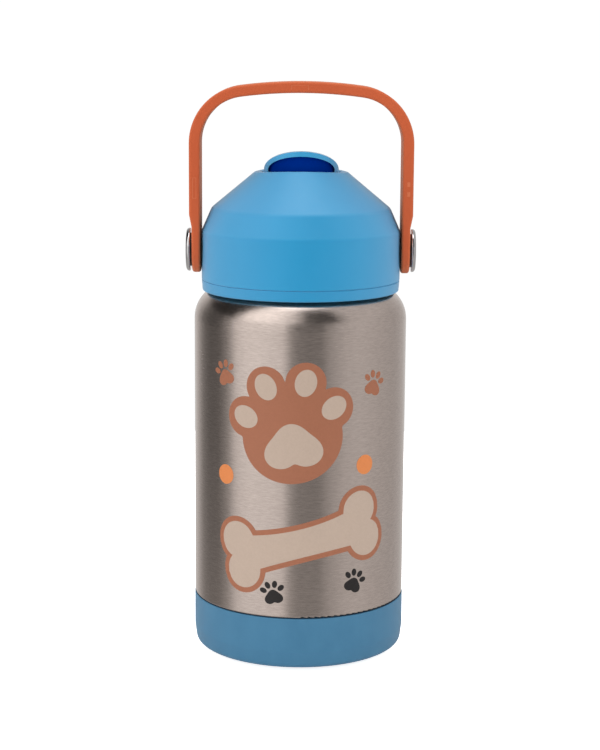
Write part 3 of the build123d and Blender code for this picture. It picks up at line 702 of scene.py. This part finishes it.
# %% World
world = bpy.data.worlds.new("studio")
bpy.context.scene.world = world
world.use_nodes = True
tree = world.node_tree
tree.nodes.clear()
place = add_node(tree, "ShaderNodeTexCoord")
direction = add_node(tree, "ShaderNodeSeparateXYZ", Vector=place.outputs["Generated"])
towards = calculate(tree, "MULTIPLY", direction.outputs[1], -1.0)
turn = calculate(tree, "ARCTAN2", direction.outputs[0], towards)
share = add_node(tree, "ShaderNodeMapRange", i0=turn, i1=-pi, i2=pi, i3=0.0, i4=1.0)


def panels(table):
    """A ramp of brightness round the studio from (azimuth, brightness) pairs."""
    ramp = add_node(tree, "ShaderNodeValToRGB", i0=share.outputs[0])
    ramp.color_ramp.elements.remove(ramp.color_ramp.elements[-1])
    for number, (azimuth, level) in enumerate(table):
        position = azimuth / 360 + 0.5
        stop = ramp.color_ramp.elements.new(position) if number else ramp.color_ramp.elements[0]
        stop.position = position
        stop.color = (level, level * 0.985, level * 0.97, 1)
    return ramp.outputs[0]


def blend_by_height(low_colour, high_colour, start, end):
    """Changes from one colour to another as the direction rises from start to end."""
    smooth = {"interpolation_type": "SMOOTHSTEP"}
    height = direction.outputs[2]
    rise = add_node(tree, "ShaderNodeMapRange", smooth, i0=height, i1=start, i2=end, i3=0, i4=1)
    mix = add_node(tree, "ShaderNodeMix", {"data_type": "RGBA"}, Factor=rise.outputs[0])
    for index, colour in ((6, low_colour), (7, high_colour)):
        if isinstance(colour, bpy.types.NodeSocket):
            tree.links.new(colour, mix.inputs[index])
        else:
            mix.inputs[index].default_value = (*colour, 1)
    return mix.outputs[2]


around = panels([
    (-180, 0.80), (-160, 0.70), (-145, 0.50), (-130, 0.20), (-116, 0.10), (-98, 0.10), (-84, 0.30),
    (-72, 0.85), (-56, 1.00), (-34, 0.95), (-18, 0.88), (-10, 0.34), (-2, 0.20), (22, 0.19), (32, 0.40),
    (50, 0.58), (68, 0.62), (96, 0.53), (124, 0.46), (150, 0.56), (180, 0.80),
])
above = panels([
    (-180, 0.50), (-160, 0.35), (-144, 0.16), (-130, 0.03), (-86, 0.02), (-78, 0.40), (-68, 1.30),
    (-40, 1.45), (-18, 1.05), (-2, 0.62), (8, 0.10), (40, 0.03), (50, 0.32), (60, 0.58), (100, 0.60),
    (140, 0.50), (180, 0.50),
])
table_light = (0.50, 0.485, 0.47)
ceiling_light = (3.2, 3.2, 3.2)
walls = blend_by_height(blend_by_height(table_light, around, -0.70, -0.08), above, 0.28, 0.44)
seen_by_steel = blend_by_height(walls, ceiling_light, 0.93, 0.995)
even_dome = blend_by_height((0.78, 0.78, 0.79), (1.63, 1.63, 1.64), -0.2, 0.9)
sideways = direction.outputs[0]
fall_off = add_node(tree, "ShaderNodeMapRange", i0=sideways, i1=-1.0, i2=1.0, i3=1.10, i4=0.80)
dimmer = {"operation": "SCALE"}
dimmed = add_node(tree, "ShaderNodeVectorMath", dimmer, i0=even_dome, Scale=fall_off.outputs[0])
soft_dome = dimmed.outputs[0]


def background(colour):
    return add_node(tree, "ShaderNodeBackground", Color=colour, Strength=1.0).outputs[0]


rays = add_node(tree, "ShaderNodeLightPath")
is_matt, is_camera = rays.outputs["Is Diffuse Ray"], rays.outputs["Is Camera Ray"]
shiny, matt = background(seen_by_steel), background(soft_dome)
lit = add_node(tree, "ShaderNodeMixShader", Fac=is_matt, i1=shiny, i2=matt)
backdrop = background((1.02, 1.02, 1.02, 1))
shown = add_node(tree, "ShaderNodeMixShader", Fac=is_camera, i1=lit.outputs[0], i2=backdrop)
add_node(tree, "ShaderNodeOutputWorld", Surface=shown.outputs[0])

# %% [markdown]
# ## Floor
# A white paper disc carries the soft contact shade. It is left out of mirror reflections, because
# the studio's own lower half already stands for the lit paper in the steel.

# %% Floor and output
floor_mesh = bpy.data.meshes.new("floor")
disc = bmesh.new()
bmesh.ops.create_circle(disc, cap_ends=True, segments=128, radius=0.35)
disc.to_mesh(floor_mesh)
disc.free()
floor = bpy.data.objects.new("floor", floor_mesh)
bpy.context.scene.collection.objects.link(floor)
paper, tree, shader = new_shader("paper_floor", Roughness=0.9)
fibre = stretched_noise(tree, (900, 900, 900), detail=3.0)
tree.links.new(tint(tree, fibre, (0.97, 0.97, 0.97), (0.98, 0.98, 0.98)), shader.inputs["Base Color"])
eye = add_node(tree, "ShaderNodeLightPath")
glow = calculate(tree, "MULTIPLY", eye.outputs["Is Camera Ray"], 0.85)
tree.links.new(glow, shader.inputs["Emission Strength"])
shader.inputs["Emission Color"].default_value = (1, 1, 1, 1)
floor_mesh.materials.append(paper)
floor.visible_glossy = False
bpy.context.scene.view_settings.view_transform = "Standard"
